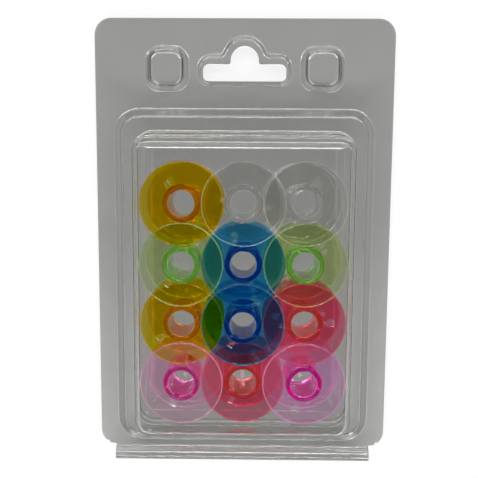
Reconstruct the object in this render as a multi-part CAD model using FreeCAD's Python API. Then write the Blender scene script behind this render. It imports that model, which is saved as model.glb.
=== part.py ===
"""Clear hinged hang pack holding twelve sewing bobbins.

The pack lies on its back: X across, Y towards the hang slot, Z up through the cover.
The origin is under the middle of the pack, on the surface that it lies on. Millimetres.
"""

import FreeCAD, Part
import math
import os

V = FreeCAD.Vector

# Formed sheet
sheet = 0.4
nest_gap = 0.1

# Rim flange, shared by both halves
rim_width = 74.6
rim_top = 57.0
rim_bottom = -52.5
rim_top_corner = 4.2
rim_bottom_corner = 2.9
cover_rim_inset = 0.5
rim_height = 3.0

# Rolled hinge bead along the bottom edge
hinge_width = 66.8
bead_radius = 1.75
pack_bottom = -57.0
bead_root_fillet = 0.4
tongue_fillet = 0.4
tongue_corner = 0.6
hinge_clearance = 0.05

# Locating step that both halves share
step_width = 65.2
step_top = 34.9
step_bottom = -51.2
step_corner = 6.2
step_rise = 1.6
step_draft = 50.0

# Box blister of the cover
box_width = 54.2
box_top = 28.8
box_bottom = -45.6
box_corner = 4.2
box_draft = 3.0
box_bend = 1.4

# Bobbins
bobbin_diameter = 20.5
bobbin_height = 11.5
bobbin_flange = 1.0
bobbin_hub = 8.7
bobbin_bore = 6.4
thread_hole = 2.0
thread_hole_radius = 6.6
thread_slot = 1.3
thread_slot_reach = 6.4

# Where the bobbins lie
columns = 3
rows = 4
column_pitch = 15.1
row_pitch = 14.75
row_centre = -10.5
layer_gap = 0.3
seat_gap = 0.2
head_room = 1.8
slot_turns = (
    (125, -10, 57),
    (236, 111, 38),
    (35, 240, 183),
    (250, 240, 70),
)

# Tray of the back half
tray_draft = 4.0
tray_bend = 1.0
tray_inset = 0.3

# Snap studs
stud_spacing = 38.6
stud_y = 44.6
stud_width = 10.7
stud_length = 11.0
stud_corner = 3.8
stud_rise = 2.6
stud_draft = 24.0

# Hang slot and its raised border
slot_width = 20.7
slot_low = 41.6
slot_high = 45.9
slot_corner = 1.4
slot_bump_radius = 3.5
slot_bump_top = 50.3
slot_inner_corner = 0.6
border_width = 23.4
border_low = 40.4
border_high = 48.2
border_corner = 3.2
border_bump_radius = 5.6
border_bump_top = 52.6
border_rise = 0.5
border_draft = 45.0

# Heights that follow from the sizes above
tray_floor = sheet
layer_rise = bobbin_flange + layer_gap
back_face = rim_height + sheet
cover_face = back_face + nest_gap + sheet
fold_height = back_face + nest_gap / 2
fold_y = pack_bottom + sheet / 2
bead_centre = fold_y + bead_radius
panel_top = tray_floor + seat_gap + bobbin_height + layer_rise + head_room + sheet

# Construction solids run this far past the pack, and formed blocks start this far inside what they stand on
beyond = 10.0
root = 1.0
near = 1e-4
through_height = panel_top + 2 * beyond


def rounded_rectangle(x0, x1, y0, y1, radius, z):
    """Closed wire of four sides and four corner arcs."""
    middle = radius * (1 - math.sqrt(0.5))
    corners = (
        (V(x0, y0 + radius, z), V(x0 + middle, y0 + middle, z), V(x0 + radius, y0, z)),
        (V(x1 - radius, y0, z), V(x1 - middle, y0 + middle, z), V(x1, y0 + radius, z)),
        (V(x1, y1 - radius, z), V(x1 - middle, y1 - middle, z), V(x1 - radius, y1, z)),
        (V(x0 + radius, y1, z), V(x0 + middle, y1 - middle, z), V(x0, y1 - radius, z)),
    )
    edges = []
    for number, (first, mid, last) in enumerate(corners):
        edges.append(Part.Arc(first, mid, last).toShape())
        edges.append(Part.LineSegment(last, corners[(number + 1) % 4][0]).toShape())
    return Part.Wire(edges)


def formed_block(span, corner, datum, draft, offset, z_low, z_high):
    """Drafted block with rounded corners that narrows upwards.

    span is (x0, x1, y0, y1) at height datum. The walls lie offset inside that form.
    """
    x0, x1, y0, y1 = span
    lean = math.tan(math.radians(draft))
    skin = offset / math.cos(math.radians(draft))

    def section(z):
        inset = (z - datum) * lean + skin
        return rounded_rectangle(x0 + inset, x1 - inset, y0 + inset, y1 - inset, corner - inset, z)

    return Part.makeLoft([section(z_low), section(z_high)], True, True)


def level_edges(shape, z):
    """Flat edges of a shape at one height."""
    boxes = [(edge, edge.BoundBox) for edge in shape.Edges]
    return [edge for edge, box in boxes if abs(box.ZMin - z) < near and abs(box.ZMax - z) < near]


def upright_edges(shape, x, y):
    """Straight edges of a prism that stand at (x, y) and (-x, y)."""
    boxes = [(edge, edge.BoundBox) for edge in shape.Edges]
    standing = [(edge, box.Center) for edge, box in boxes if box.ZLength > root]
    return [edge for edge, at in standing if abs(abs(at.x) - x) < near and abs(at.y - y) < near]


def shrunk(span, inset):
    x0, x1, y0, y1 = span
    return (x0 + inset, x1 - inset, y0 + inset, y1 - inset)


def centred(width, y0, y1):
    return (-width / 2, width / 2, y0, y1)


step_span = centred(step_width, step_bottom, step_top)
box_span = centred(box_width, box_bottom, box_top)
tray_span = shrunk(box_span, tray_inset)
stud_spans = [
    (x - stud_width / 2, x + stud_width / 2, stud_y - stud_length / 2, stud_y + stud_length / 2)
    for x in (-stud_spacing / 2, stud_spacing / 2)
]
border_span = centred(border_width, border_low, border_high)


def rim_block(z_top):
    """Thick slab under the rim, wider than the pack."""
    width = rim_width + 2 * beyond
    length = rim_top - pack_bottom + 2 * beyond
    return Part.makeBox(width, length, z_top + beyond, V(-width / 2, pack_bottom - beyond, -beyond))


def shared_form(depth):
    """What both halves share, as the solid under a skin that lies depth below the cover's face."""
    face = cover_face - depth
    low = face - root
    form = rim_block(face)
    step = formed_block(step_span, step_corner, cover_face, step_draft, depth, low, face + step_rise)
    border_top = face + border_rise
    border = formed_block(border_span, border_corner, cover_face, border_draft, depth, low, border_top)
    lean = math.tan(math.radians(border_draft))
    skin = depth / math.cos(math.radians(border_draft))

    def bump_radius(z):
        return border_bump_radius - (z - cover_face) * lean - skin

    bump_foot = V(0, border_bump_top - border_bump_radius, low)
    bump = Part.makeCone(bump_radius(low), bump_radius(border_top), border_top - low, bump_foot)
    studs = [
        formed_block(span, stud_corner, cover_face, stud_draft, depth, low, face + stud_rise)
        for span in stud_spans
    ]
    for block in (step, border, bump, *studs):
        form = form.fuse(block)
    return form.removeSplitter()


def cover_form(depth):
    """The solid under the cover's skin."""
    ledge = cover_face + step_rise - depth
    top = panel_top - depth
    box = formed_block(box_span, box_corner, cover_face + step_rise, box_draft, depth, ledge - root, top)
    box = box.makeFillet(box_bend - depth, level_edges(box, top))
    return shared_form(depth).fuse(box).removeSplitter()


def tray_hollow(depth):
    """The tray's hollow, grown by depth."""
    lip = back_face + step_rise - depth
    floor = tray_floor - depth
    datum = back_face + step_rise
    hollow = formed_block(tray_span, box_corner - tray_inset, datum, -tray_draft, -depth, floor, lip + root)
    return hollow.makeFillet(tray_bend + depth, level_edges(hollow, floor))


def back_form(depth):
    """The solid under the back's skin."""
    return shared_form(sheet + nest_gap + depth).cut(tray_hollow(depth))


def outline_prism(inset):
    """Plan of the rim and its hinge tongue, as a tall prism."""
    side = rim_width / 2 - inset
    top = rim_top - inset
    wire = rounded_rectangle(-side, side, rim_bottom, top, rim_top_corner - inset, -beyond)
    prism = Part.Face(wire).extrude(V(0, 0, through_height))
    square = rim_top_corner
    for x in (-side, side - square):
        prism = prism.fuse(Part.makeBox(square, square, through_height, V(x, rim_bottom, -beyond)))
    prism = prism.removeSplitter()
    bottom_corner = rim_bottom_corner - inset
    prism = prism.makeFillet(bottom_corner, upright_edges(prism, side, rim_bottom))
    tongue_foot = V(-hinge_width / 2, bead_centre, -beyond)
    tongue = Part.makeBox(hinge_width, rim_bottom - bead_centre, through_height, tongue_foot)
    plan = prism.fuse(tongue).removeSplitter()
    room = abs(side - bottom_corner - hinge_width / 2)
    return plan.makeFillet(min(tongue_fillet, room / 2), upright_edges(plan, hinge_width / 2, rim_bottom))


def tongue_end():
    """Tall prism over the hinge bead, with the bead's rounded outer corners."""
    foot = V(-hinge_width / 2, pack_bottom, -beyond)
    prism = Part.makeBox(hinge_width, rim_bottom - pack_bottom, through_height, foot)
    return prism.makeFillet(tongue_corner, upright_edges(prism, hinge_width / 2, pack_bottom))


def slot_cutter():
    """Hang slot with its rounded bump."""
    wire = rounded_rectangle(-slot_width / 2, slot_width / 2, slot_low, slot_high, slot_corner, -beyond)
    bar = Part.Face(wire).extrude(V(0, 0, through_height))
    bump_y = slot_bump_top - slot_bump_radius
    bump = Part.makeCylinder(slot_bump_radius, through_height, V(0, bump_y, -beyond))
    neck_low = (slot_low + slot_high) / 2
    neck_foot = V(-slot_bump_radius, neck_low, -beyond)
    neck = Part.makeBox(2 * slot_bump_radius, bump_y - neck_low, through_height, neck_foot)
    cutter = bar.fuse(bump).fuse(neck).removeSplitter()
    return cutter.makeFillet(slot_inner_corner, upright_edges(cutter, slot_bump_radius, slot_high))


def hinge_rod(radius):
    return Part.makeCylinder(radius, hinge_width, V(-hinge_width / 2, fold_y, fold_height), V(1, 0, 0))


def bead_leaf(side):
    """One half of the rolled bead: side is 1 in front of the fold plane and -1 behind it."""
    start = V(-hinge_width / 2, bead_centre, fold_height)
    ring = Part.makeCylinder(bead_radius, hinge_width, start, V(1, 0, 0))
    ring = ring.cut(Part.makeCylinder(bead_radius - sheet, hinge_width, start, V(1, 0, 0)))
    reach = 2 * bead_radius
    low = fold_height + nest_gap / 2 if side > 0 else fold_height - nest_gap / 2 - reach
    half = Part.makeBox(hinge_width, 2 * reach, reach, V(-hinge_width / 2, bead_centre - reach, low))
    return ring.common(half).common(tongue_end())


def with_bead(skin, side):
    """Trims the skin at the bead, adds the bead's leaf and rounds the corner between them."""
    start = V(-hinge_width / 2, bead_centre, fold_height)
    skin = skin.cut(Part.makeCylinder(bead_radius - sheet, hinge_width, start, V(1, 0, 0)))
    whole = skin.fuse(bead_leaf(side)).removeSplitter()
    rim_z = cover_face if side > 0 else rim_height
    boxes = [(edge, edge.BoundBox) for edge in level_edges(whole, rim_z)]
    along = [(edge, box.Center.y) for edge, box in boxes if abs(box.XLength - hinge_width) < near]
    corner = [edge for edge, y in along if bead_centre < y < rim_bottom]
    return whole.makeFillet(bead_root_fillet, corner)


def build_cover():
    skin = cover_form(0).cut(cover_form(sheet))
    skin = skin.common(outline_prism(cover_rim_inset)).cut(slot_cutter())
    return with_bead(skin, 1).cut(hinge_rod(sheet / 2 + hinge_clearance))


def build_back():
    skin = back_form(0).cut(back_form(sheet))
    skin = skin.common(outline_prism(0)).cut(slot_cutter())
    return with_bead(skin, -1).cut(hinge_rod(sheet / 2))


def build_bobbin():
    """One bobbin on the Z axis, its front slot along +X, its rear face at z = 0."""
    rim = bobbin_diameter / 2
    hub = bobbin_hub / 2
    bore = bobbin_bore / 2
    low = bobbin_flange
    high = bobbin_height - bobbin_flange
    profile = [
        V(bore, 0, 0),
        V(rim, 0, 0),
        V(rim, 0, low),
        V(hub, 0, low),
        V(hub, 0, high),
        V(rim, 0, high),
        V(rim, 0, bobbin_height),
        V(bore, 0, bobbin_height),
    ]
    wire = Part.makePolygon(profile + profile[:1])
    spool = Part.Face(wire).revolve(V(0, 0, 0), V(0, 0, 1), 360)
    for turn, z in ((0, high), (180, 0)):
        cutter = Part.makeBox(thread_slot_reach, thread_slot, bobbin_flange, V(0, -thread_slot / 2, z))
        hole = Part.makeCylinder(thread_hole / 2, bobbin_flange, V(-thread_hole_radius, 0, z))
        cutter = cutter.fuse(hole)
        cutter.rotate(V(0, 0, 0), V(0, 0, 1), turn)
        spool = spool.cut(cutter)
    return spool


def bobbin_places():
    """Name, turn and place of each bobbin: neighbours lie in two layers, so their flanges overlap."""
    for row in range(rows):
        for column in range(columns):
            raised = (row + column) % 2
            x = (column - (columns - 1) / 2) * column_pitch
            y = row_centre + ((rows - 1) / 2 - row) * row_pitch
            z = tray_floor + seat_gap + raised * layer_rise
            yield f"bobbin_r{row + 1}c{column + 1}", slot_turns[row][column], V(x, y, z)


def main():
    os.makedirs("parts", exist_ok=True)
    nodes = {
        "back_shell": build_back(),
        "living_hinge": hinge_rod(sheet / 2).common(tongue_end()),
        "front_shell": build_cover(),
    }
    spool = build_bobbin()
    for name, turn, place in bobbin_places():
        bobbin = spool.copy()
        bobbin.rotate(V(0, 0, 0), V(0, 0, 1), turn)
        bobbin.translate(place)
        nodes[name] = bobbin
    for name, shape in nodes.items():
        print(name, shape.isValid(), len(shape.Solids), round(shape.Volume, 2), shape.BoundBox)
        shape.exportStep(f"parts/{name}.step")


main()
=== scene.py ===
# %% [markdown]
# # A clear hinged pack of sewing bobbins
#
# The pack is one sheet of clear plastic, formed over a mould and folded along its lower edge: a
# back with a tray, and a cover with a box blister. Twelve see-through bobbins lie inside in two
# layers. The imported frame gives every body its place, in metres, so each piece is made where it
# belongs.

# %% Load the frame
import math
import bmesh
import bpy
from mathutils import Euler, Matrix, Vector


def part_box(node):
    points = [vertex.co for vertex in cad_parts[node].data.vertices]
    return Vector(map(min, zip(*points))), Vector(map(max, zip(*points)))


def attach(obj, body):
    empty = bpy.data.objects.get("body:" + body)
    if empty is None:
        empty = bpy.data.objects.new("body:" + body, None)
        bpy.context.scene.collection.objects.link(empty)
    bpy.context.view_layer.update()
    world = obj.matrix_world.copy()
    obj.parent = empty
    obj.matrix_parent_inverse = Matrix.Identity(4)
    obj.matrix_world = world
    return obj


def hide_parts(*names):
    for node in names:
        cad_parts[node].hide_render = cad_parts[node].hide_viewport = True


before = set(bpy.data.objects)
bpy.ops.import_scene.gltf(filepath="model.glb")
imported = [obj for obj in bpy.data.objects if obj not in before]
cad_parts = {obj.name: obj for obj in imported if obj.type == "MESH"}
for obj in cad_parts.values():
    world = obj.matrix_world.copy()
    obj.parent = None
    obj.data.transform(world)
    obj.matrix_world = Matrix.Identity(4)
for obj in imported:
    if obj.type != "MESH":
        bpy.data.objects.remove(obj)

MM = 0.001
scene = bpy.context.scene
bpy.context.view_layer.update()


def in_mm(lengths):
    """Lengths in millimetres, short enough to print."""
    return [round(length / MM, 2) for length in lengths]


# %% [markdown]
# ## The camera
#
# The photograph looks almost straight down on the closed pack from about 16 cm. The place and the
# turn of the camera were worked out from the bores, the flanges and the rim, and the lens from how
# much smaller the far flange of each bobbin looks than the near one.

# %% Camera
PHOTO_SIDE = 478
FOCAL_PIXELS = 610.08
SENSOR_MM = 36.0
CAMERA_PLACE_MM = (0.48, 19.13, 158.94)
CAMERA_TURN_DEG = (6.216, -0.600, -0.415)
NEAREST_SEEN = 5 * MM

camera = bpy.data.objects.new("camera", bpy.data.cameras.new("camera"))
scene.collection.objects.link(camera)
scene.camera = camera
camera.data.sensor_width = SENSOR_MM
camera.data.lens = FOCAL_PIXELS / PHOTO_SIDE * SENSOR_MM
camera.data.clip_start = NEAREST_SEEN
world_to_camera = Euler([math.radians(turn) for turn in CAMERA_TURN_DEG], "XYZ").to_matrix()
camera.matrix_world = Matrix.LocRotScale(
    Vector(CAMERA_PLACE_MM) * MM, world_to_camera.transposed(), None,
)
print("Lens in mm:", round(camera.data.lens, 2))

# %% [markdown]
# ## Clear plastics
#
# Everything here is see-through, so every finish is a dielectric: it bends light, and it mirrors
# more at a glancing angle. A tint on the surface is counted once for each sheet that the light
# crosses, so two nested sheets look darker than one, as they do on the real pack. Formed sheet and
# moulded plastic are never quite flat, so a slow noise wobbles their normals, and a finer one
# varies the gloss. A few specks of dust come from a cell pattern that is dark only close to the
# middle of each cell.

# %% Node helpers


def spread(tree, value, source, target):
    """Maps the range source of a value to the range target."""
    ramp = tree.nodes.new("ShaderNodeMapRange")
    for socket, number in zip(("From Min", "From Max", "To Min", "To Max"), (*source, *target)):
        ramp.inputs[socket].default_value = number
    tree.links.new(value, ramp.inputs["Value"])
    return ramp.outputs["Result"]


def combine(tree, operation, first, second=0):
    """Math node on two values, each an output of a node or a number."""
    node = tree.nodes.new("ShaderNodeMath")
    node.operation = operation
    for socket, value in zip(node.inputs, (first, second)):
        if isinstance(value, bpy.types.NodeSocket):
            tree.links.new(value, socket)
        else:
            socket.default_value = value
    return node.outputs[0]


print("Node helpers:", [helper.__name__ for helper in (spread, combine)])

# %% Noise and dust
NOISE_RANGE = (0.35, 0.7)
SPECK_SPACING = 6 * MM
SPECK_EDGE = (0.012, 0.028)
SPECK_SHADE = 0.35


def noise(tree, grain, detail, target=None):
    """Noise on object coordinates, whose grain is (x, y, z) long, mapped to the range target."""
    place = tree.nodes.new("ShaderNodeTexCoord")
    mapping = tree.nodes.new("ShaderNodeMapping")
    mapping.inputs["Scale"].default_value = [1 / length for length in grain]
    texture = tree.nodes.new("ShaderNodeTexNoise")
    texture.inputs["Scale"].default_value = 1
    texture.inputs["Detail"].default_value = detail
    tree.links.new(place.outputs["Object"], mapping.inputs["Vector"])
    tree.links.new(mapping.outputs["Vector"], texture.inputs["Vector"])
    level = texture.outputs["Fac"]
    return spread(tree, level, NOISE_RANGE, target) if target else level


def specks(tree):
    """1 on clean plastic, and less in the few grains of dust that the surface cuts through."""
    place = tree.nodes.new("ShaderNodeTexCoord")
    cells = tree.nodes.new("ShaderNodeTexVoronoi")
    cells.inputs["Scale"].default_value = 1 / SPECK_SPACING
    tree.links.new(place.outputs["Object"], cells.inputs["Vector"])
    return spread(tree, cells.outputs["Distance"], SPECK_EDGE, (SPECK_SHADE, 1))


print("Dust grains lie about this far apart, in mm:", in_mm([SPECK_SPACING]))

# %% Sheet finish
GLOSS_GRAIN = 2.5 * MM
STREAK_DETAIL = 3
GLOSS_DETAIL = 4
WAVE_DETAIL = 1


def clear_plastic(name, tint, ior, streak, streak_depth, gloss, wave, wave_size, painted_glow=0):
    """See-through plastic. Streaks and dust vary the tint, and noise the gloss and the level."""
    material = bpy.data.materials.new(name)
    material.use_nodes = True
    tree = material.node_tree
    shader = tree.nodes["Principled BSDF"]
    shader.inputs["Transmission Weight"].default_value = 1
    shader.inputs["IOR"].default_value = ior
    # Painted glow: the plastic emits its own tint, though no lamp feeds it
    shader.inputs["Emission Color"].default_value = (*tint, 1)
    shader.inputs["Emission Strength"].default_value = painted_glow

    streaks = noise(tree, streak, STREAK_DETAIL, (1 - streak_depth, 1))
    shade = tree.nodes.new("ShaderNodeVectorMath")
    shade.operation = "SCALE"
    shade.inputs[0].default_value = tint
    tree.links.new(combine(tree, "MULTIPLY", streaks, specks(tree)), shade.inputs["Scale"])
    tree.links.new(shade.outputs["Vector"], shader.inputs["Base Color"])

    worn = noise(tree, [GLOSS_GRAIN] * 3, GLOSS_DETAIL, gloss)
    tree.links.new(worn, shader.inputs["Roughness"])
    bump = tree.nodes.new("ShaderNodeBump")
    bump.inputs["Strength"].default_value = 1
    bump.inputs["Distance"].default_value = wave
    tree.links.new(noise(tree, [wave_size] * 3, WAVE_DETAIL), bump.inputs["Height"])
    tree.links.new(bump.outputs["Normal"], shader.inputs["Normal"])
    return material


SHEET_TINT = (0.90, 0.905, 0.885)
SHEET_PLASTIC = {
    "ior": 1.57, "streak": (24 * MM, 14 * MM, 8 * MM), "streak_depth": 0.03,
    "gloss": (0.01, 0.04), "wave": 0.02 * MM, "wave_size": 9 * MM,
}
sheet_finish = clear_plastic("clear_sheet", SHEET_TINT, **SHEET_PLASTIC)
print("Sheet finish:", sheet_finish.name)

# %% [markdown]
# ## Bobbin colours
#
# The bobbins are moulded in tinted clear plastic. Each colour has a tint for one flange and a
# deeper one for the hub, which is seen along its length. Two things would take very long light
# paths, so a faint painted glow, an emission in the tint's own colour, stands in for their light:
# the red, pink and magenta bobbins look brighter than their tint lets through, and light that is
# caught inside a flange leaves it at the edges. So each colour has a glowing finish for its edges.

# %% Bobbin finishes
BOBBIN_TINTS = {
    "amber": ((1.00, 0.79, 0.010), (0.95, 0.29, 0.008)),
    "clear": ((0.98, 0.98, 0.965), (0.90, 0.90, 0.89)),
    "green": ((0.90, 0.98, 0.66), (0.36, 0.95, 0.12)),
    "blue": ((0.24, 0.68, 0.93), (0.004, 0.065, 0.52)),
    "red": ((1.00, 0.32, 0.45), (1.00, 0.08, 0.07)),
    "pink": ((1.00, 0.77, 0.90), (1.00, 0.05, 0.44)),
    "magenta": ((1.00, 0.70, 0.93), (1.00, 0.02, 0.46)),
}
# Painted glow, an emission in the tint's colour: a little on red, pink, magenta, more on edges
PAINTED_COLOUR_GLOW = {"red": 0.022, "pink": 0.027, "magenta": 0.029}
PAINTED_EDGE_GLOW = 0.06
MOULDED_PLASTIC = {
    "ior": 1.45, "streak": (7 * MM, 7 * MM, 7 * MM), "streak_depth": 0.05,
    "gloss": (0.008, 0.03), "wave": 0.01 * MM, "wave_size": 6 * MM,
}
FLANGE_FINISH, HUB_FINISH, EDGE_FINISH = range(3)

bobbin_finishes = {}
for colour, (flange, hub) in BOBBIN_TINTS.items():
    painted_colour_glow = PAINTED_COLOUR_GLOW.get(colour, 0)
    parts = (("flange", flange, painted_colour_glow), ("hub", hub, painted_colour_glow), ("edge", flange, painted_colour_glow + PAINTED_EDGE_GLOW))
    bobbin_finishes[colour] = [
        clear_plastic(f"{colour}_{part}", tint, **MOULDED_PLASTIC, painted_glow=painted_glow)
        for part, tint, painted_glow in parts
    ]
print("Finishes:", len(bpy.data.materials))

# %% [markdown]
# ## Outlines with rounded corners
#
# Formed sheet has no sharp corner anywhere. A plan outline starts as a polygon with a few corners,
# and a vertex bevel with its own radius rounds each of them. Listing the corners and their radii
# keeps the rim and the studs readable, and the bevel works out the arcs.

# %% Outline helpers
CORNER_STEPS = 10


def rounded_face(bm, corners, z):
    """Flat face whose corners are (x, y, radius)."""
    known = set(bm.faces)
    verts = [bm.verts.new((x, y, z)) for x, y, _ in corners]
    bm.faces.new(verts)
    for vert, (_, _, radius) in zip(verts, corners):
        if radius:
            bmesh.ops.bevel(
                bm, geom=[vert], affect="VERTICES", offset=radius, offset_type="OFFSET",
                segments=CORNER_STEPS, profile=0.5, material=-1,
            )
    return next(face for face in bm.faces if face not in known)


def fill_around(bm, face, holes):
    """Turns a face into flat triangles that leave its holes out."""
    edges = list(face.edges)
    for hole in holes:
        edges += hole.edges
    bmesh.ops.delete(bm, geom=[face], context="FACES_ONLY")
    bmesh.ops.triangle_fill(bm, edges=edges, use_beauty=True, normal=(0, 0, 1))


print("Points on a rounded corner:", CORNER_STEPS + 1)

# %% [markdown]
# ## Drafted walls with bends
#
# A vacuum-formed wall leans, so that it leaves the mould, and it meets the flats in round bends.
# The bends make the bright lines that draw the pack's shape, so they are real geometry here. A wall
# is made by insetting its top face again and again: each inset goes a little inwards and a little
# up, first round the root bend, then up the wall, then round the crown bend. The two halves nest,
# so a skin that lies deeper has a larger root bend and a smaller crown bend about the same centres.

# %% Wall helpers
BEND_STEPS = 7


def bend_reach(draft, radius):
    """How far a bend starts before the sharp corner that it rounds."""
    return radius * math.tan(math.radians(90 - draft) / 2)


def bend(slope, radius):
    """(inset, lift) of each step round a bend, from the flat to the slope of the wall."""
    angles = [slope * step / BEND_STEPS for step in range(BEND_STEPS + 1)]
    return [
        (radius * (math.sin(b) - math.sin(a)), radius * (math.cos(a) - math.cos(b)))
        for a, b in zip(angles, angles[1:])
    ]


def wall_steps(rise, draft, root, crown):
    """(inset, lift) of each step up a wall with a root bend and a crown bend."""
    slope = math.radians(90 - draft)
    straight = rise - (root + crown) * (1 - math.cos(slope))
    wall = (straight / math.tan(slope), straight)
    return [*bend(slope, root), wall, *reversed(bend(slope, crown))]


def raise_face(bm, face, steps, sign=1):
    """Raises (1) or lowers (-1) a face along the steps of a wall."""
    for inset, lift in steps:
        bmesh.ops.inset_individual(
            bm, faces=[face], thickness=inset, depth=sign * lift, use_even_offset=True,
        )


def wall_foot(bm, span, corner, reach, z):
    """Face of a rectangle with round corners, grown by the reach of the root bend."""
    x0, x1, y0, y1 = span
    x0, x1, y0, y1, corner = x0 - reach, x1 + reach, y0 - reach, y1 + reach, corner + reach
    plan = [(x0, y0, corner), (x1, y0, corner), (x1, y1, corner), (x0, y1, corner)]
    return rounded_face(bm, plan, z)


print("Steps up a wall:", 2 * BEND_STEPS + 1)

# %% [markdown]
# ## Heights of the formed sheet
#
# The box of each CAD node gives the overall sizes, so the sheets meet the solids at the top of the
# cover, at the floor of the tray and on the hinge axis. The other sizes follow with the forms they
# belong to.

# %% Sheet heights
SHEET = 0.4 * MM
NEST_GAP = 0.1 * MM
back_low, back_high = (Vector(corner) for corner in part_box("back_shell"))
cover_low, cover_high = (Vector(corner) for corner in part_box("front_shell"))
hinge_low, hinge_high = (Vector(corner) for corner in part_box("living_hinge"))

COVER_FACE = cover_low.z + SHEET
PANEL_TOP = cover_high.z
TRAY_FLOOR = back_low.z + SHEET
FOLD_Y = (hinge_low.y + hinge_high.y) / 2
FOLD_Z = (hinge_low.z + hinge_high.z) / 2
print("Cover face, panel and tray floor in mm:", in_mm((COVER_FACE, PANEL_TOP, TRAY_FLOOR)))

# %% [markdown]
# ## The hang slot and its border
#
# The slot is a bar with a round bump above it, so that the pack hangs straight on one prong. A
# raised border of the same form stiffens the sheet round it. Arcs that touch each other make this
# outline better than corners would, because the bump runs into the bar through a fillet.

# %% Slot outline
TOUCHING = 0.001 * MM
HANG_SLOT = {
    "half": 10.35 * MM, "low": 41.6 * MM, "high": 45.9 * MM, "corner": 1.4 * MM,
    "bump": 3.5 * MM, "bump_top": 50.3 * MM, "foot": 0.6 * MM,
}
HANG_BORDER = {
    "half": 11.7 * MM, "low": 40.4 * MM, "high": 48.2 * MM, "corner": 3.2 * MM,
    "bump": 5.6 * MM, "bump_top": 52.6 * MM, "foot": 0.8 * MM,
}


def arc(x, y, radius, start, end):
    """Points along an arc, with its angles in degrees."""
    turns = [start + (end - start) * step / CORNER_STEPS for step in range(CORNER_STEPS + 1)]
    angles = [math.radians(turn) for turn in turns]
    return [(x + radius * math.cos(angle), y + radius * math.sin(angle)) for angle in angles]


def slot_face(bm, z, grow, half, low, high, corner, bump, bump_top, foot):
    """Face of a bar with a round bump, grown by grow. Foot rounds the inner corner of the bump."""
    half, low, high, corner = half + grow, low - grow, high + grow, corner + grow
    bump, bump_y = bump + grow, bump_top - bump
    drop = max(0, high + foot - bump_y)
    lean = math.degrees(math.asin(drop / (bump + foot)))
    foot_x = math.sqrt((bump + foot) ** 2 - drop**2)
    right = arc(half - corner, low + corner, corner, -90, 0)
    right += arc(half - corner, high - corner, corner, 0, 90)
    right += arc(foot_x, high + foot, foot, 270, 180 + lean)
    right += arc(0, bump_y, bump, lean, 90)
    points = right + [(-x, y) for x, y in reversed(right[:-1])]
    apart = [
        point for point, last in zip(points, points[-1:] + points)
        if math.dist(point, last) > TOUCHING
    ]
    return bm.faces.new([bm.verts.new((x, y, z)) for x, y in apart])


slot_height = HANG_SLOT["bump_top"] - HANG_SLOT["low"]
print("Slot width and height in mm:", in_mm((2 * HANG_SLOT["half"], slot_height)))

# %% [markdown]
# ## The hinge bead
#
# At its lower edge each half runs into a tongue, and the end of the tongue is rolled into half a
# bead beside the fold. A fillet leads into the bead. Both are spins of the tongue's last edges, the
# first about the fillet's centre and the second about the bead's, so the roll has no kink.

# %% Hinge bead
HINGE_HALF = 33.4 * MM
TONGUE_CORNER = 0.6 * MM
BEAD_RADIUS = 1.75 * MM
BEAD_FILLET = 1.2 * MM
BEAD_STEPS = 14
BEAD_CENTRE = FOLD_Y + BEAD_RADIUS
FILLET_Z = COVER_FACE + BEAD_FILLET - FOLD_Z
FILLET_Y = math.sqrt((BEAD_RADIUS + BEAD_FILLET) ** 2 - FILLET_Z**2)
TONGUE_END = BEAD_CENTRE + FILLET_Y


def roll_bead(bm, side):
    """Rolls the edge of the tongue up (1) or down (-1) into a bead that ends at the fold."""
    lean = math.atan2(FILLET_Z, FILLET_Y)
    end = math.asin(NEST_GAP / 2 / BEAD_RADIUS)
    edges = [
        edge for edge in bm.edges
        if all(abs(vert.co.y - TONGUE_END) < TOUCHING for vert in edge.verts)
    ]
    turns = (
        ((0, TONGUE_END, FOLD_Z + side * FILLET_Z), -side * (math.pi / 2 - lean)),
        ((0, BEAD_CENTRE, FOLD_Z), side * (math.pi - lean - end)),
    )
    for centre, angle in turns:
        made = bmesh.ops.spin(
            bm, geom=edges, cent=centre, axis=(1, 0, 0), angle=angle, steps=BEAD_STEPS,
            use_duplicate=False,
        )
        edges = [item for item in made["geom_last"] if isinstance(item, bmesh.types.BMEdge)]


def round_bead_ends(bm):
    """Draws the ends of the bead in, so that its outer corners are round."""
    corner_y = FOLD_Y - SHEET / 2 + TONGUE_CORNER
    for vert in bm.verts:
        past = max(0, corner_y - vert.co.y)
        reach = HINGE_HALF - TONGUE_CORNER + math.sqrt(TONGUE_CORNER**2 - past**2)
        if past and abs(vert.co.x) > reach:
            vert.co.x = math.copysign(reach, vert.co.x)


print("Tongue end and bead centre in mm:", in_mm((TONGUE_END, BEAD_CENTRE)))

# %% [markdown]
# ## One skin of the formed sheet
#
# Both halves share the rim, the step, the studs and the slot border, because they nest. So one
# function makes the skin at a given depth under the cover's face, and each half then adds its own
# box or tray. The rim is filled with triangles around the feet of the raised forms: it is flat, so
# they don't show.

# %% Rim
RIM_BOTTOM = -52.5 * MM
RIM_TOP_CORNER = 4.2 * MM
RIM_BOTTOM_CORNER = 3.5 * MM
TONGUE_FILLET = 0.35 * MM


def rim_face(bm, rim_side, rim_top, rim_corner, z):
    """Face of the rim with the tongue at its lower edge."""
    return rounded_face(bm, [
        (-rim_side, RIM_BOTTOM, rim_corner), (-HINGE_HALF, RIM_BOTTOM, TONGUE_FILLET),
        (-HINGE_HALF, TONGUE_END, 0), (HINGE_HALF, TONGUE_END, 0),
        (HINGE_HALF, RIM_BOTTOM, TONGUE_FILLET), (rim_side, RIM_BOTTOM, rim_corner),
        (rim_side, rim_top, RIM_TOP_CORNER), (-rim_side, rim_top, RIM_TOP_CORNER),
    ], z)


print("Rim width and height in mm:", in_mm((2 * back_high.x, back_high.y - RIM_BOTTOM)))

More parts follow.
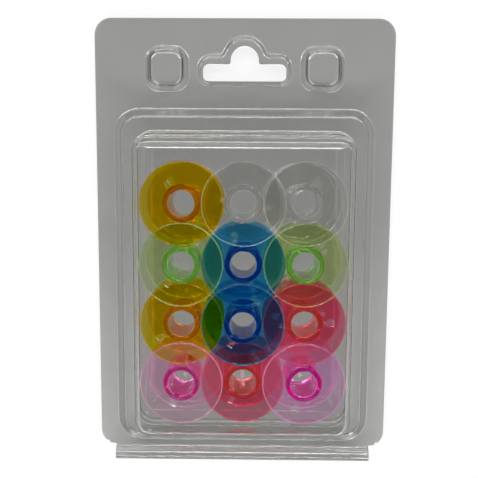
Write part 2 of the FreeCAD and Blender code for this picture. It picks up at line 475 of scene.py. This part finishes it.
# %% Step, studs and border
STEP_SPAN = (-32.6 * MM, 32.6 * MM, -51.2 * MM, 34.9 * MM)
STEP_CORNER = 6.2 * MM
STEP_RISE = 1.6 * MM
STEP_DRAFT = 50
STEP_BENDS = (0.6 * MM, 1.0 * MM)

STUD_X = 19.3 * MM
STUD_Y = 44.6 * MM
STUD_HALF = (5.35 * MM, 5.5 * MM)
STUD_CORNER = 3.8 * MM
STUD_RISE = 2.6 * MM
STUD_DRAFT = 24
STUD_BENDS = (0.5 * MM, 1.4 * MM)

BORDER_RISE = 0.5 * MM
BORDER_DRAFT = 45
BORDER_BENDS = (0.4 * MM, 1.0 * MM)
print("Step, studs and border rise in mm:", in_mm((STEP_RISE, STUD_RISE, BORDER_RISE)))

# %% Shared skin


def shared_skin(depth, rim_side, rim_top, rim_corner, side):
    """Skin that lies depth under the cover's face, and the top of its step for a box or a tray."""
    bm = bmesh.new()
    face = COVER_FACE - depth
    rim = rim_face(bm, rim_side, rim_top, rim_corner, face)
    step = wall_foot(bm, STEP_SPAN, STEP_CORNER, bend_reach(STEP_DRAFT, STEP_BENDS[0]), face)
    border = slot_face(bm, face, bend_reach(BORDER_DRAFT, BORDER_BENDS[0]), **HANG_BORDER)
    studs = []
    for x in (-STUD_X, STUD_X):
        half_x, half_y = STUD_HALF
        span = (x - half_x, x + half_x, STUD_Y - half_y, STUD_Y + half_y)
        reach = bend_reach(STUD_DRAFT, STUD_BENDS[0])
        studs.append(wall_foot(bm, span, STUD_CORNER, reach, face))
    fill_around(bm, rim, [step, border, *studs])
    roll_bead(bm, side)
    round_bead_ends(bm)

    forms = [(step, STEP_RISE, STEP_DRAFT, STEP_BENDS)]
    forms += [(border, BORDER_RISE, BORDER_DRAFT, BORDER_BENDS)]
    forms += [(stud, STUD_RISE, STUD_DRAFT, STUD_BENDS) for stud in studs]
    for form, rise, draft, (root, crown) in forms:
        raise_face(bm, form, wall_steps(rise, draft, root + depth, crown - depth))
    slot = slot_face(bm, face + BORDER_RISE, 0, **HANG_SLOT)
    fill_around(bm, border, [slot])
    bmesh.ops.delete(bm, geom=[slot], context="FACES_ONLY")
    print("Skin at depth in mm:", in_mm([depth]), "faces:", len(bm.faces))
    return bm, step


# %% [markdown]
# ## From a skin to a sheet
#
# Each skin gets the sheet's thickness on its under side, so a bend that is round on one side is
# tighter on the other, as formed sheet is. Cut edges stay sharp. Normals weighted by area keep the
# flats flat right up to the bends, which matters on clear plastic: a wrong normal bends what is
# seen through it.

# %% Piece helpers
SHARP = math.radians(60)


def as_object(bm, name):
    """Puts the mesh into the scene as an object at the origin."""
    mesh = bpy.data.meshes.new(name)
    bm.to_mesh(mesh)
    bm.free()
    made = bpy.data.objects.new(name, mesh)
    scene.collection.objects.link(made)
    return made


def finish_piece(bm, name, body, slot, materials, *nodes):
    """Makes the object, shades it, puts it on its body and lets it stand for its CAD nodes."""
    for face in bm.faces:
        face.smooth = True
    for edge in bm.edges:
        edge.smooth = edge.calc_face_angle(0) < SHARP
    piece = as_object(bm, name)
    for material in materials:
        piece.data.materials.append(material)
    weighted = piece.modifiers.new("weighted_normals", "WEIGHTED_NORMAL")
    weighted.keep_sharp = True
    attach(piece, body)
    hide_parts(*nodes)
    print(name, "faces:", len(piece.data.polygons))


# %% [markdown]
# ## The cover
#
# On the step of the cover stands the box blister. Its walls lean by only a few degrees, so from
# above they show as narrow lines. Its crown bend is tight along the sides and the foot and wide at
# the top, as the wide group of bright lines there shows. An inset gives every side the same bend,
# so the bend along the top is scaled afterwards about the sharp corner that it rounds, and blends
# in round the corners.

# %% Cover
COVER_INSET = back_high.x - cover_high.x
BOX_SPAN = (-26.9 * MM, 26.9 * MM, -46.1 * MM, 28.3 * MM)
BOX_CORNER = 4.2 * MM
BOX_RISE = PANEL_TOP - COVER_FACE - STEP_RISE
BOX_DRAFT = 3
BOX_BENDS = (1.4 * MM, 1.4 * MM)
BOX_TOP_BEND = 3.6 * MM


def widen_top_bend(bm):
    """Scales the crown bend about its sharp corner, more and more towards the top of the box."""
    x0, x1, y0, y1 = BOX_SPAN
    draft = math.radians(BOX_DRAFT)
    corner = BOX_CORNER - BOX_RISE * math.tan(draft)
    bend_low = PANEL_TOP - BOX_BENDS[1] * (1 - math.sin(draft))
    for vert in bm.verts:
        middle = Vector((
            min(max(vert.co.x, x0 + BOX_CORNER), x1 - BOX_CORNER),
            min(max(vert.co.y, y0 + BOX_CORNER), y1 - BOX_CORNER),
            vert.co.z,
        ))
        out = vert.co - middle
        if vert.co.z > bend_low - TOUCHING and out.y > 0:
            outward = out.normalized()
            scale = 1 + outward.y**2 * (BOX_TOP_BEND / BOX_BENDS[1] - 1)
            vert.co = middle + outward * (corner - scale * (corner - out.length))
            vert.co.z = PANEL_TOP - scale * (PANEL_TOP - vert.co.z)


bm, ledge = shared_skin(0, cover_high.x, cover_high.y, RIM_BOTTOM_CORNER - COVER_INSET, 1)
box_reach = bend_reach(BOX_DRAFT, BOX_BENDS[0])
box = wall_foot(bm, BOX_SPAN, BOX_CORNER, box_reach, COVER_FACE + STEP_RISE)
fill_around(bm, ledge, [box])
raise_face(bm, box, wall_steps(BOX_RISE, BOX_DRAFT, *BOX_BENDS))
widen_top_bend(bm)
bmesh.ops.solidify(bm, geom=bm.faces[:], thickness=SHEET)
finish_piece(bm, "clear_cover", "front_shell", "clear_sheet", [sheet_finish], "front_shell")

# %% [markdown]
# ## The back
#
# The back nests under the cover at an even gap. Inside its step a tray goes down to the table,
# where the bobbins lie. The same wall function makes it, with the lift turned round.

# %% Back
NEST_DEPTH = SHEET + NEST_GAP
TRAY_SPAN = (-26.8 * MM, 26.8 * MM, -45.3 * MM, 28.5 * MM)
TRAY_CORNER = 3.9 * MM
TRAY_DRAFT = 4
TRAY_BENDS = (0.9 * MM, 1.0 * MM)

bm, ledge = shared_skin(NEST_DEPTH, back_high.x, back_high.y, RIM_BOTTOM_CORNER, -1)
lip = COVER_FACE + STEP_RISE - NEST_DEPTH
tray = wall_foot(bm, TRAY_SPAN, TRAY_CORNER, bend_reach(TRAY_DRAFT, TRAY_BENDS[0]), lip)
fill_around(bm, ledge, [tray])
raise_face(bm, tray, wall_steps(lip - TRAY_FLOOR, TRAY_DRAFT, *TRAY_BENDS), -1)
bmesh.ops.solidify(bm, geom=bm.faces[:], thickness=SHEET)
finish_piece(bm, "clear_back", "back_shell", "clear_sheet", [sheet_finish], "back_shell")

# %% [markdown]
# ## The fold
#
# Between the two beads the sheet is thinned to a film that folds. The CAD rod on the hinge axis has
# its shape already, so it only gets the finish of the sheet.

# %% Fold
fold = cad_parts["living_hinge"]
fold.data.materials.clear()
fold.data.materials.append(sheet_finish)
print("Fold length in mm:", in_mm([2 * HINGE_HALF]))

# %% [markdown]
# ## A bobbin
#
# A bobbin is one moulding: a hub with a bore, and a flange at each end. It could be put together
# from cylinders, but a profile that is spun once round the axis has every rounded corner in it from
# the start.

# %% Bobbin spool
BORE_RADIUS = 3.2 * MM
HUB_RADIUS = 4.35 * MM
FLANGE = 1.0 * MM
BORE_ROUND = 0.2 * MM
RIM_ROUND = 0.35 * MM
ROOT_ROUND = 0.4 * MM
SPIN_STEPS = 96

bobbin_low, bobbin_high = (Vector(corner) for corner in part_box("bobbin_r1c1"))
BOBBIN_HEIGHT = bobbin_high.z - bobbin_low.z
RIM_RADIUS = (bobbin_high.x - bobbin_low.x) / 2


def spool():
    """The spun moulding without its thread slots and holes, on the Z axis, from z = 0 upwards."""
    low, high, top = FLANGE, BOBBIN_HEIGHT - FLANGE, BOBBIN_HEIGHT
    profile = [
        (BORE_RADIUS, 0, BORE_ROUND), (HUB_RADIUS, 0, 0), (RIM_RADIUS, 0, RIM_ROUND),
        (RIM_RADIUS, low, RIM_ROUND), (HUB_RADIUS, low, ROOT_ROUND),
        (HUB_RADIUS, high, ROOT_ROUND), (RIM_RADIUS, high, RIM_ROUND),
        (RIM_RADIUS, top, RIM_ROUND), (HUB_RADIUS, top, 0), (BORE_RADIUS, top, BORE_ROUND),
    ]
    bm = bmesh.new()
    section = rounded_face(bm, profile, 0)
    bmesh.ops.delete(bm, geom=[section], context="FACES_ONLY")
    upright = Matrix.Rotation(math.pi / 2, 3, "X")
    bmesh.ops.rotate(bm, verts=bm.verts, cent=(0, 0, 0), matrix=upright)
    bmesh.ops.spin(
        bm, geom=bm.verts[:] + bm.edges[:], cent=(0, 0, 0), axis=(0, 0, 1),
        angle=2 * math.pi, steps=SPIN_STEPS, use_merge=True, use_duplicate=False,
    )
    bmesh.ops.recalc_face_normals(bm, faces=bm.faces)
    return bm


print("Bobbin diameter and height in mm:", in_mm((2 * RIM_RADIUS, BOBBIN_HEIGHT)))

# %% [markdown]
# ## Thread slots and holes
#
# Each flange has a thread slot that runs out from the bore and a small round hole across from it.
# They are cut with a Boolean, because a spin can't make them, and a narrow bevel rounds their
# edges. The faces are then sorted by place and slope into the finishes for flange, hub and edge.

# %% Thread cutters
THREAD_HOLE_RADIUS = 1.0 * MM
THREAD_HOLE_PLACE = 6.6 * MM
THREAD_HOLE_STEPS = 32
THREAD_SLOT_HALF = 0.65 * MM
THREAD_SLOT_REACH = 6.4 * MM


def thread_cutters():
    """Slot and hole of both flanges. The rear ones are turned by half a turn."""
    bm = bmesh.new()
    for turn, z in ((0, BOBBIN_HEIGHT), (math.pi, 0)):
        slot = bmesh.ops.create_cube(bm, size=2)["verts"]
        bmesh.ops.scale(bm, verts=slot, vec=(THREAD_SLOT_REACH / 2, THREAD_SLOT_HALF, FLANGE))
        bmesh.ops.translate(bm, verts=slot, vec=(THREAD_SLOT_REACH / 2, 0, z))
        hole = bmesh.ops.create_cone(
            bm, cap_ends=True, segments=THREAD_HOLE_STEPS, depth=2 * FLANGE,
            radius1=THREAD_HOLE_RADIUS, radius2=THREAD_HOLE_RADIUS,
        )["verts"]
        bmesh.ops.translate(bm, verts=hole, vec=(-THREAD_HOLE_PLACE, 0, z))
        turned = Matrix.Rotation(turn, 3, "Z")
        bmesh.ops.rotate(bm, verts=slot + hole, cent=(0, 0, 0), matrix=turned)
    return bm


print("Thread hole and slot width in mm:", in_mm((2 * THREAD_HOLE_RADIUS, 2 * THREAD_SLOT_HALF)))

# %% Cut bobbin
WELD = 0.0001 * MM


def cut_spool():
    """The spool with its slots and holes cut out."""
    blank, cutter = as_object(spool(), "blank"), as_object(thread_cutters(), "cutter")
    cut = blank.modifiers.new("cut", "BOOLEAN")
    cut.operation = "DIFFERENCE"
    cut.solver = "EXACT"
    cut.object = cutter
    evaluated = blank.evaluated_get(bpy.context.evaluated_depsgraph_get())
    bm = bmesh.new()
    bm.from_mesh(evaluated.to_mesh())
    for made in (blank, cutter):
        mesh = made.data
        bpy.data.objects.remove(made)
        bpy.data.meshes.remove(mesh)
    bmesh.ops.remove_doubles(bm, verts=bm.verts, dist=WELD)
    return bm


bobbin = cut_spool()
print("Faces of the cut bobbin:", len(bobbin.faces))

# %% Rounded bobbin with its finishes
CUT_ROUND = 0.1 * MM
CUT_STEPS = 2
EDGE_SLANT = (0.15, 0.95)


def round_and_sort(bm):
    """Rounds the cut edges and gives every face the finish of the flange, the hub or the edge."""
    sharp = [edge for edge in bm.edges if edge.calc_face_angle(0) > SHARP]
    rounded = bmesh.ops.bevel(
        bm, geom=sharp, affect="EDGES", offset=CUT_ROUND, offset_type="OFFSET",
        segments=CUT_STEPS, profile=0.5, material=-1, clamp_overlap=True,
    )["faces"]
    for face in bm.faces:
        centre = face.calc_center_median()
        radius = math.hypot(centre.x, centre.y)
        flat = BORE_RADIUS + BORE_ROUND < radius < RIM_RADIUS - RIM_ROUND
        slanted = EDGE_SLANT[0] < abs(face.normal.z) < EDGE_SLANT[1]
        face.material_index = HUB_FINISH if radius < HUB_RADIUS else FLANGE_FINISH
        if slanted and not flat:
            face.material_index = EDGE_FINISH
    for face in rounded:
        face.material_index = EDGE_FINISH


round_and_sort(bobbin)
bobbin_mesh = bpy.data.meshes.new("bobbin")
bobbin.to_mesh(bobbin_mesh)
bobbin.free()
print("Faces of the rounded bobbin:", len(bobbin_mesh.polygons))

# %% [markdown]
# ## Twelve bobbins
#
# The bobbins lie in rows of three, and each is turned its own way, as its thread slot shows. The
# colours follow the photograph, row by row from the hang slot down. Each copy gets its place and
# its turn in its mesh, so that its object stays at the origin like the CAD node that it stands for.

# %% Bobbins
COLOURS = (
    ("amber", "clear", "clear"),
    ("green", "blue", "green"),
    ("amber", "blue", "red"),
    ("pink", "red", "magenta"),
)
BOBBIN_TURNS = ((125, -10, 57), (236, 111, 38), (35, 240, 183), (250, 240, 70))

for row, (colours, turns) in enumerate(zip(COLOURS, BOBBIN_TURNS), 1):
    for column, (colour, turn) in enumerate(zip(colours, turns), 1):
        node = f"bobbin_r{row}c{column}"
        low, high = (Vector(corner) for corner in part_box(node))
        place = Vector(((low.x + high.x) / 2, (low.y + high.y) / 2, low.z))
        seat = Matrix.Translation(place) @ Matrix.Rotation(math.radians(turn), 4, "Z")
        bm = bmesh.new()
        bm.from_mesh(bobbin_mesh)
        bmesh.ops.transform(bm, matrix=seat, verts=bm.verts)
        finish_piece(bm, f"{node}_{colour}", node, colour, bobbin_finishes[colour], node)
bpy.data.meshes.remove(bobbin_mesh)

# %% [markdown]
# ## The floor
#
# The photograph was cut out on white, but what shows through the plastic is a grey table. So the
# floor is white for the camera, with a little matt white in it that keeps the shadow, and grey for
# light that the plastic mirrors or lets through. The Light Path node tells these rays apart.

# %% Floor
FLOOR_HALF = 1.5
FLOOR_DROP = 0.05 * MM

bm = bmesh.new()
bmesh.ops.create_grid(bm, x_segments=1, y_segments=1, size=FLOOR_HALF)
bmesh.ops.translate(bm, verts=bm.verts, vec=(0, 0, -FLOOR_DROP))
floor = as_object(bm, "floor")
print("Floor side in m:", 2 * FLOOR_HALF)

# %% Floor finish
FLOOR_WHITE = 0.9
FLOOR_ROUGHNESS = 0.8
CAMERA_GLOW = 0.8
TABLE_GREY = 0.36


def mix_shaders(tree, share, first, second, output):
    """Sends a mix of two shaders to the output, with the given share of the second."""
    mix = tree.nodes.new("ShaderNodeMixShader")
    for source, socket in zip((share, first.outputs[0], second.outputs[0]), mix.inputs):
        tree.links.new(source, socket)
    tree.links.new(mix.outputs[0], tree.nodes[output].inputs["Surface"])


floor_finish = bpy.data.materials.new("white_floor")
floor_finish.use_nodes = True
floor.data.materials.append(floor_finish)

tree = floor_finish.node_tree
matt = tree.nodes["Principled BSDF"]
matt.inputs["Base Color"].default_value = (FLOOR_WHITE, FLOOR_WHITE, FLOOR_WHITE, 1)
matt.inputs["Roughness"].default_value = FLOOR_ROUGHNESS
matt.inputs["Specular IOR Level"].default_value = 0
ray = tree.nodes.new("ShaderNodeLightPath").outputs
glowing = tree.nodes.new("ShaderNodeEmission")
level = spread(tree, ray["Is Camera Ray"], (0, 1), (TABLE_GREY, 1))
tree.links.new(level, glowing.inputs["Color"])
by_camera = combine(tree, "MULTIPLY", ray["Is Camera Ray"], CAMERA_GLOW)
by_plastic = combine(tree, "MAXIMUM", ray["Is Glossy Ray"], ray["Is Transmission Ray"])
glow_share = combine(tree, "MAXIMUM", by_camera, by_plastic)
mix_shaders(tree, glow_share, matt, glowing, "Material Output")
print("Grey of the floor behind plastic:", TABLE_GREY)

# %% [markdown]
# ## The room
#
# Clear plastic shows mostly what it mirrors. The world is dark straight above, where the flats
# mirror it, lighter at both sides and beyond the hang slot, and dark again at the horizon, which
# keeps the slopes dark between their bends. A brighter window stands at each side. Ramps on the
# parts of the ray's direction draw all this, so no picture is needed. The camera itself sees plain
# white.

# %% World
# For each ramp: from where to where in the direction's x, y or z, and the two brightnesses
SIDES = ((0.15, 0.23), (0, 1))
WINDOW_NEAR = ((0.28, 0.34), (0, 1.2))
WINDOW_FAR = ((0.42, 0.50), (1, 0))
FOOT_SIDE = ((-0.10, -0.42), (0.55, 1.8))
TOP_SIDE = ((0.10, 0.15), (0, 0.55))
HORIZON = ((0.35, 0.65), (0.05, 1))

world = bpy.data.worlds.new("studio")
scene.world = world
world.use_nodes = True
tree = world.node_tree
direction = tree.nodes.new("ShaderNodeTexCoord").outputs["Generated"]
axes = tree.nodes.new("ShaderNodeSeparateXYZ")
tree.links.new(direction, axes.inputs[0])
x, y, z = axes.outputs
aside = combine(tree, "ABSOLUTE", x)
beside = combine(tree, "MULTIPLY", spread(tree, aside, *SIDES), spread(tree, y, *FOOT_SIDE))
window_near, window_far = (spread(tree, aside, *ramp) for ramp in (WINDOW_NEAR, WINDOW_FAR))
window = combine(tree, "MULTIPLY", window_near, window_far)
overhead = combine(tree, "MAXIMUM", beside, spread(tree, y, *TOP_SIDE))
overhead = combine(tree, "ADD", overhead, window)
brightness = combine(tree, "MULTIPLY", overhead, spread(tree, z, *HORIZON))
room = tree.nodes["Background"]
tree.links.new(brightness, room.inputs["Color"])
white = tree.nodes.new("ShaderNodeBackground")
white.inputs["Color"].default_value = (1, 1, 1, 1)
ray = tree.nodes.new("ShaderNodeLightPath").outputs
mix_shaders(tree, ray["Is Camera Ray"], room, white, "World Output")
print("World nodes:", len(tree.nodes))

# %% [markdown]
# ## The lamps
#
# Long strip lamps draw the bright lines along the bends, because a bend mirrors a strip as a line.
# Two stand beyond the hang slot and one at the foot.

# %% Lamps
LAMP_FAR = 2.0
# Compass heading and lean from straight above in degrees, length and width in metres, radiance
LAMPS = {
    "ceiling_lamp": (90, 20, 2.0, 0.20, 12),
    "top_lamp": (90, 66, 2.0, 0.25, 6),
    "foot_lamp": (-90, 60, 2.0, 0.20, 10),
}


def lamp(name, heading, lean, length, width, radiance):
    """Strip lamp that faces the pack. Radiance is what a mirror would show of it."""
    light = bpy.data.lights.new(name, "AREA")
    light.shape = "RECTANGLE"
    light.size, light.size_y = length, width
    light.energy = radiance * math.pi * length * width
    made = bpy.data.objects.new(name, light)
    scene.collection.objects.link(made)
    lean = math.radians(lean)
    towards = Euler((0, 0, math.radians(heading))).to_matrix()
    place = LAMP_FAR * (towards @ Vector((math.sin(lean), 0, math.cos(lean))))
    made.matrix_world = Matrix.LocRotScale(place, (-place).to_track_quat("-Z", "Y"), None)


for name, settings in LAMPS.items():
    lamp(name, *settings)

# %% [markdown]
# ## Finish
#
# A ray that goes straight through the pack crosses up to twelve surfaces, so it needs more bounces
# than usual.

# %% Render depth and colour
CLEAR_BOUNCES = 32
MIRROR_BOUNCES = 8

scene.cycles.max_bounces = CLEAR_BOUNCES
scene.cycles.transmission_bounces = CLEAR_BOUNCES
scene.cycles.glossy_bounces = MIRROR_BOUNCES
scene.view_settings.view_transform = "Standard"
